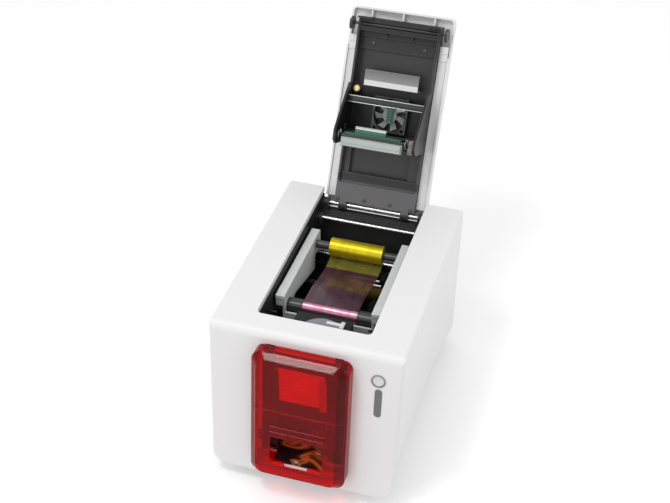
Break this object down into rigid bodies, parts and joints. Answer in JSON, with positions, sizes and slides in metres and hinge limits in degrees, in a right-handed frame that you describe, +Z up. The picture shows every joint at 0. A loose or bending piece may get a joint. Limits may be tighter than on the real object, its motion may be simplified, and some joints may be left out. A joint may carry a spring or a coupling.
{
  "type": "id_card_printer",
  "caption": "Desktop printer for plastic identity cards: white tapered case, clear red front covers, hinged lid open on a ribbon bay with rollers and film.",
  "frame": {"origin": "on the table under the middle of the whole object, its lid open", "axes": "+Z up, front (card feeder and output) towards -Y, +X to the right seen from the front"},
  "size_m": [0.205, 0.4162, 0.3704],
  "materials": {
    "case_white": "fine moulded grain",
    "hood_red": "clear dark red moulding",
    "button_clear": "smooth",
    "indicator_clear": "frosted",
    "base_grey": "fine moulded grain",
    "dark_plastic": "fine moulded grain",
    "core_black": "smooth",
    "cartridge_grey": "smooth",
    "gauge_clear": "translucent",
    "gear_white": "smooth",
    "card_white": "smooth",
    "film_yellow": "thin film",
    "film_plum": "thin film with streaks",
    "board_green": "coated board",
    "rubber_black": "matte",
    "rubber_amber": "matte",
    "sheet_steel": "rolled sheet",
    "bright_sheet": "bright",
    "shaft_steel": "ground",
    "motor_steel": "satin",
    "brass": "turned"
  },
  "bodies": {
    "chassis": {"outer_case": "case_white", "button_bezel": "hood_red", "indicator_window": "indicator_clear", "indicator_board": "board_green", "base_tray": "base_grey", "rubber_feet": "rubber_black", "side_plate_left": "sheet_steel", "side_plate_right": "sheet_steel", "well_floor": "dark_plastic", "rear_deck": "dark_plastic", "cross_rods": "shaft_steel", "card_guides": "dark_plastic", "drive_belt": "rubber_black", "stepper_motor": "motor_steel", "feeder_frame": "dark_plastic", "output_frame": "dark_plastic", "blank_cards": "card_white", "output_hopper": "hood_red", "rear_panel": "base_grey", "main_board": "board_green", "data_sockets": "bright_sheet", "power_inlet": "core_black", "switch_body": "core_black", "panel_screws": "shaft_steel"},
    "lid": {"lid_shell": "case_white", "lid_frame": "dark_plastic", "film_deflector": "bright_sheet", "cross_channel": "bright_sheet", "brass_stud": "brass", "fan_housing": "core_black"},
    "lock_bar": {"lid_lock_bar": "dark_plastic"},
    "fan": {"fan_rotor": "core_black"},
    "head": {"head_bracket": "sheet_steel", "print_head": "bright_sheet", "head_board": "board_green"},
    "big_gear": {"lid_gear_large": "gear_white"},
    "small_gear": {"lid_gear_small": "gear_white"},
    "cover": {"feeder_cover": "hood_red"},
    "button": {"push_button": "button_clear"},
    "rocker": {"power_rocker": "core_black"},
    "gauge": {"gauge_wheel": "gauge_clear"},
    "finished_card": {"printed_card": "card_white"},
    "cartridge": {"cartridge_frame": "cartridge_grey", "film_rear": "film_yellow", "film_front": "film_plum"},
    "supply": {"supply_spool": "core_black", "supply_film_roll": "film_yellow"},
    "takeup": {"takeup_spool": "core_black", "takeup_film_roll": "film_plum"},
    "platen": {"platen_shaft": "shaft_steel", "platen_roller": "rubber_amber", "platen_gear": "gear_white"},
    "front_drive": {"front_transport_roller": "rubber_black"},
    "feed_drive": {"feed_roller": "rubber_black"},
    "rear_drive": {"rear_transport_roller": "rubber_black"},
    "idler": {"idler_gear": "gear_white"},
    "motor_spin_body": {"motor_pinion": "brass"},
    "front_pinch": {"front_pinch_roller": "shaft_steel"},
    "rear_pinch": {"rear_pinch_roller": "shaft_steel"}
  },
  "joints": [
    {"name": "lid_hinge", "type": "hinge", "parent": "chassis", "child": "lid", "pos_m": [0, 0.08571, 0.1758], "axis": [1, 0, 0], "range_deg": [0, 118], "deforming": ["film_rear", "film_front"]},
    {"name": "lock_bar_turn", "type": "hinge", "parent": "lid", "child": "lock_bar", "pos_m": [0, 0.1811, 0.35839], "axis": [1, 0, 0], "range_deg": [0, 14]},
    {"name": "fan_spin", "type": "hinge", "parent": "lid", "child": "fan", "pos_m": [0.002, 0.14262, 0.26899], "axis": [0, 0.8829, -0.4695], "continuous": true},
    {"name": "head_pivot", "type": "hinge", "parent": "lid", "child": "head", "pos_m": [0, 0.11478, 0.26454], "axis": [1, 0, 0], "range_deg": [0, 3], "stiffness_Nm_per_rad": 0.8, "springref_deg": -6.88},
    {"name": "lid_big_gear_spin", "type": "hinge", "parent": "lid", "child": "big_gear", "pos_m": [0.04075, 0.08107, 0.26718], "axis": [1, 0, 0], "continuous": true},
    {"name": "lid_small_gear_spin", "type": "hinge", "parent": "lid", "child": "small_gear", "pos_m": [0.04075, 0.08459, 0.2738], "axis": [1, 0, 0], "continuous": true},
    {"name": "feeder_cover_hinge", "type": "hinge", "parent": "chassis", "child": "cover", "pos_m": [0, -0.17095, 0.17847], "axis": [-1, 0, 0], "range_deg": [0, 65]},
    {"name": "button_press", "type": "slide", "parent": "chassis", "child": "button", "axis": [0, 0.9922, -0.1246], "range_m": [0, 0.0015], "stiffness_N_per_m": 400, "springref_m": -0.0005},
    {"name": "power_rocker_tilt", "type": "hinge", "parent": "chassis", "child": "rocker", "pos_m": [0.07974, 0.08971, 0.048], "axis": [0, 0, -1], "range_deg": [0, 10]},
    {"name": "gauge_wheel_turn", "type": "hinge", "parent": "chassis", "child": "gauge", "pos_m": [0.003, -0.12899, 0.17], "axis": [0, 0, 1], "range_deg": [0, 90]},
    {"name": "finished_card_lift", "type": "slide", "parent": "chassis", "child": "finished_card", "axis": [0, 0, 1], "range_m": [0, 0.02]},
    {"name": "cartridge_lift", "type": "slide", "parent": "chassis", "child": "cartridge", "axis": [0, 0, 1], "range_m": [0, 0.07]},
    {"name": "takeup_spin", "type": "hinge", "parent": "cartridge", "child": "takeup", "pos_m": [0, -0.07959, 0.1575], "axis": [1, 0, 0], "continuous": true},
    {"name": "supply_spin", "type": "hinge", "parent": "cartridge", "child": "supply", "pos_m": [0, 0.01901, 0.166], "axis": [1, 0, 0], "continuous": true},
    {"name": "platen_spin", "type": "hinge", "parent": "chassis", "child": "platen", "pos_m": [0, 0.00901, 0.1175], "axis": [1, 0, 0], "continuous": true},
    {"name": "front_roller_spin", "type": "hinge", "parent": "chassis", "child": "front_drive", "pos_m": [0, -0.06099, 0.1175], "axis": [1, 0, 0], "continuous": true},
    {"name": "feed_roller_spin", "type": "hinge", "parent": "chassis", "child": "feed_drive", "pos_m": [0, -0.12499, 0.1175], "axis": [1, 0, 0], "continuous": true},
    {"name": "rear_roller_spin", "type": "hinge", "parent": "chassis", "child": "rear_drive", "pos_m": [0, 0.04701, 0.1175], "axis": [1, 0, 0], "continuous": true},
    {"name": "idler_spin", "type": "hinge", "parent": "chassis", "child": "idler", "pos_m": [0.07375, 0.02701, 0.0935], "axis": [1, 0, 0], "continuous": true},
    {"name": "motor_spin", "type": "hinge", "parent": "chassis", "child": "motor_spin_body", "pos_m": [0.07375, 0.00701, 0.08023], "axis": [1, 0, 0], "continuous": true},
    {"name": "front_pinch_spin", "type": "hinge", "parent": "chassis", "child": "front_pinch", "pos_m": [0, -0.06099, 0.13076], "axis": [1, 0, 0], "continuous": true},
    {"name": "rear_pinch_spin", "type": "hinge", "parent": "chassis", "child": "rear_pinch", "pos_m": [0, 0.04701, 0.13076], "axis": [1, 0, 0], "continuous": true}
  ],
  "couplings": [
    {"joint": "lid_small_gear_spin", "follows": "lid_big_gear_spin", "ratio": -1.5},
    {"joint": "supply_spin", "follows": "takeup_spin", "ratio": -0.83654},
    {"joint": "front_roller_spin", "follows": "platen_spin", "ratio": 1},
    {"joint": "feed_roller_spin", "follows": "platen_spin", "ratio": 1},
    {"joint": "rear_roller_spin", "follows": "platen_spin", "ratio": 1},
    {"joint": "idler_spin", "follows": "platen_spin", "ratio": -0.66667},
    {"joint": "motor_spin", "follows": "platen_spin", "ratio": 2}
  ]
}
